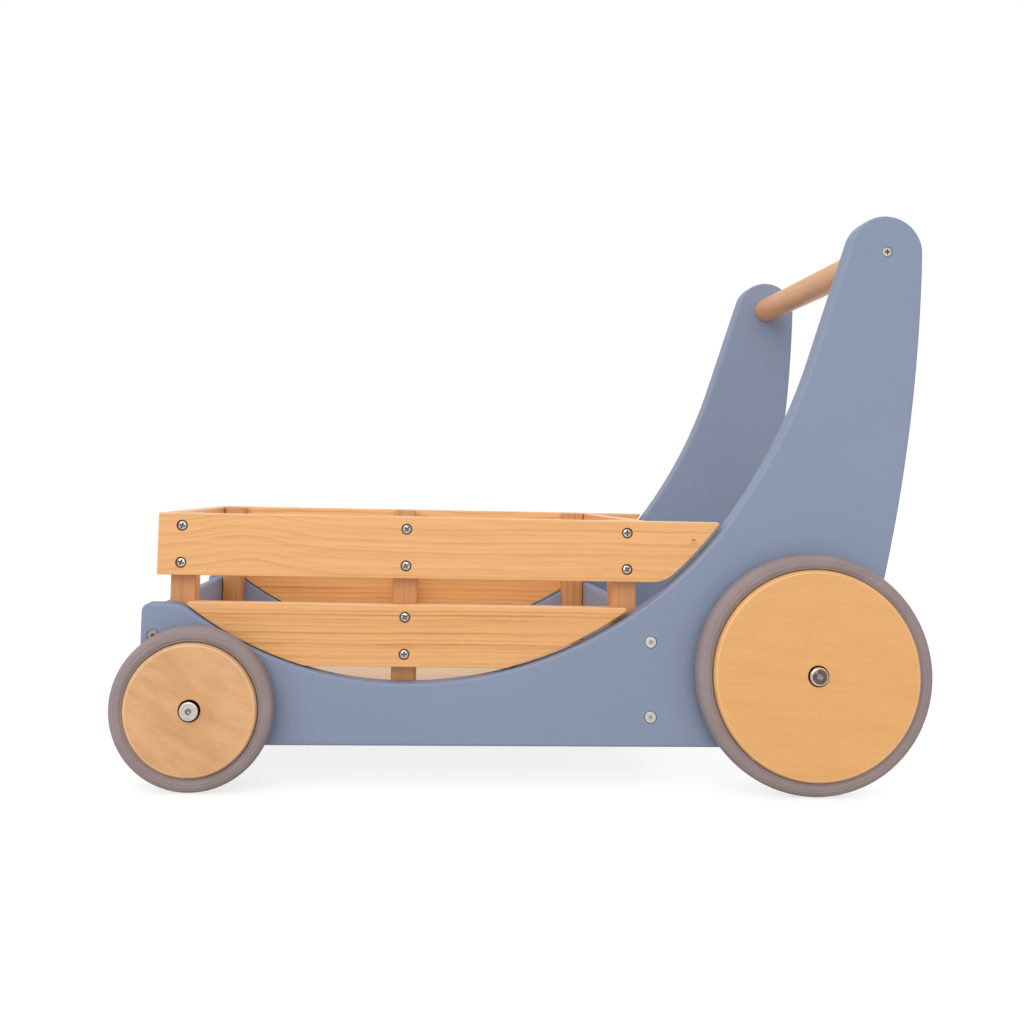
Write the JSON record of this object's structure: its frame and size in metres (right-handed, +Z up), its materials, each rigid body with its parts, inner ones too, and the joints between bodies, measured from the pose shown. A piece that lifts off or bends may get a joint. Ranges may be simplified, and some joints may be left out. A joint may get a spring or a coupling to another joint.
{
  "type": "baby push walker",
  "caption": "Wooden push walker with painted sweeping side panels, a slatted pine crate, a dowel handle between leaning arms and rubber-tyred disc wheels, the rear pair larger.",
  "frame": {"origin": "on the floor, under the middle of the overall length and width", "axes": "+X towards the handle end, +Y towards the right side of the walker as pushed, +Z up"},
  "size_m": [0.6202, 0.3578, 0.4475],
  "materials": {
    "slate_paint": "slate blue satin paint on board, rounded edges",
    "pine": "clear-lacquered pine with straight grain",
    "beech": "clear-lacquered beech",
    "birch_ply": "clear-lacquered wooden disc with a rounded edge",
    "rubber": "matt taupe grey rubber",
    "steel": "bright nickel-plated steel"
  },
  "bodies": {
    "frame": {"floor_board": "pine", "front_cross_board": "slate_paint", "front_end_rail": "pine", "front_left_axle_bolt": "steel", "front_left_axle_spacer": "steel", "front_right_axle_bolt": "steel", "front_right_axle_spacer": "steel", "handle_bar": "beech", "left_front_lower_board_bolt": "steel", "left_front_post": "pine", "left_front_upper_board_bolt": "steel", "left_handle_screw": "steel", "left_lower_rail": "pine", "left_lower_rail_middle_bottom_screw": "steel", "left_lower_rail_middle_top_screw": "steel", "left_middle_post": "pine", "left_rear_lower_board_bolt": "steel", "left_rear_post": "pine", "left_rear_upper_board_bolt": "steel", "left_side_panel": "slate_paint", "left_upper_rail": "pine", "left_upper_rail_front_bottom_screw": "steel", "left_upper_rail_front_top_screw": "steel", "left_upper_rail_middle_bottom_screw": "steel", "left_upper_rail_middle_top_screw": "steel", "left_upper_rail_rear_bottom_screw": "steel", "left_upper_rail_rear_top_screw": "steel", "rear_cross_board": "slate_paint", "rear_end_rail": "pine", "rear_left_axle_bolt": "steel", "rear_left_axle_spacer": "steel", "rear_right_axle_bolt": "steel", "rear_right_axle_spacer": "steel", "right_front_lower_board_bolt": "steel", "right_front_post": "pine", "right_front_upper_board_bolt": "steel", "right_handle_screw": "steel", "right_lower_rail": "pine", "right_lower_rail_middle_bottom_screw": "steel", "right_lower_rail_middle_top_screw": "steel", "right_middle_post": "pine", "right_rear_lower_board_bolt": "steel", "right_rear_post": "pine", "right_rear_upper_board_bolt": "steel", "right_side_panel": "slate_paint", "right_upper_rail": "pine", "right_upper_rail_front_bottom_screw": "steel", "right_upper_rail_front_top_screw": "steel", "right_upper_rail_middle_bottom_screw": "steel", "right_upper_rail_middle_top_screw": "steel", "right_upper_rail_rear_bottom_screw": "steel", "right_upper_rail_rear_top_screw": "steel"},
    "front_left_wheel": {"front_left_wheel_disc": "birch_ply", "front_left_tyre": "rubber"},
    "front_right_wheel": {"front_right_wheel_disc": "birch_ply", "front_right_tyre": "rubber"},
    "rear_left_wheel": {"rear_left_wheel_disc": "birch_ply", "rear_left_tyre": "rubber"},
    "rear_right_wheel": {"rear_right_wheel_disc": "birch_ply", "rear_right_tyre": "rubber"}
  },
  "joints": [
    {"name": "front_left_wheel_spin", "type": "hinge", "parent": "frame", "child": "front_left_wheel", "pos_m": [-0.25013, -0.1686, 0.06], "axis": [0, 1, 0], "continuous": true},
    {"name": "front_right_wheel_spin", "type": "hinge", "parent": "frame", "child": "front_right_wheel", "pos_m": [-0.25013, 0.1686, 0.06], "axis": [0, 1, 0], "continuous": true},
    {"name": "rear_left_wheel_spin", "type": "hinge", "parent": "frame", "child": "rear_left_wheel", "pos_m": [0.21383, -0.1686, 0.09], "axis": [0, 1, 0], "continuous": true},
    {"name": "rear_right_wheel_spin", "type": "hinge", "parent": "frame", "child": "rear_right_wheel", "pos_m": [0.21383, 0.1686, 0.09], "axis": [0, 1, 0], "continuous": true}
  ]
}
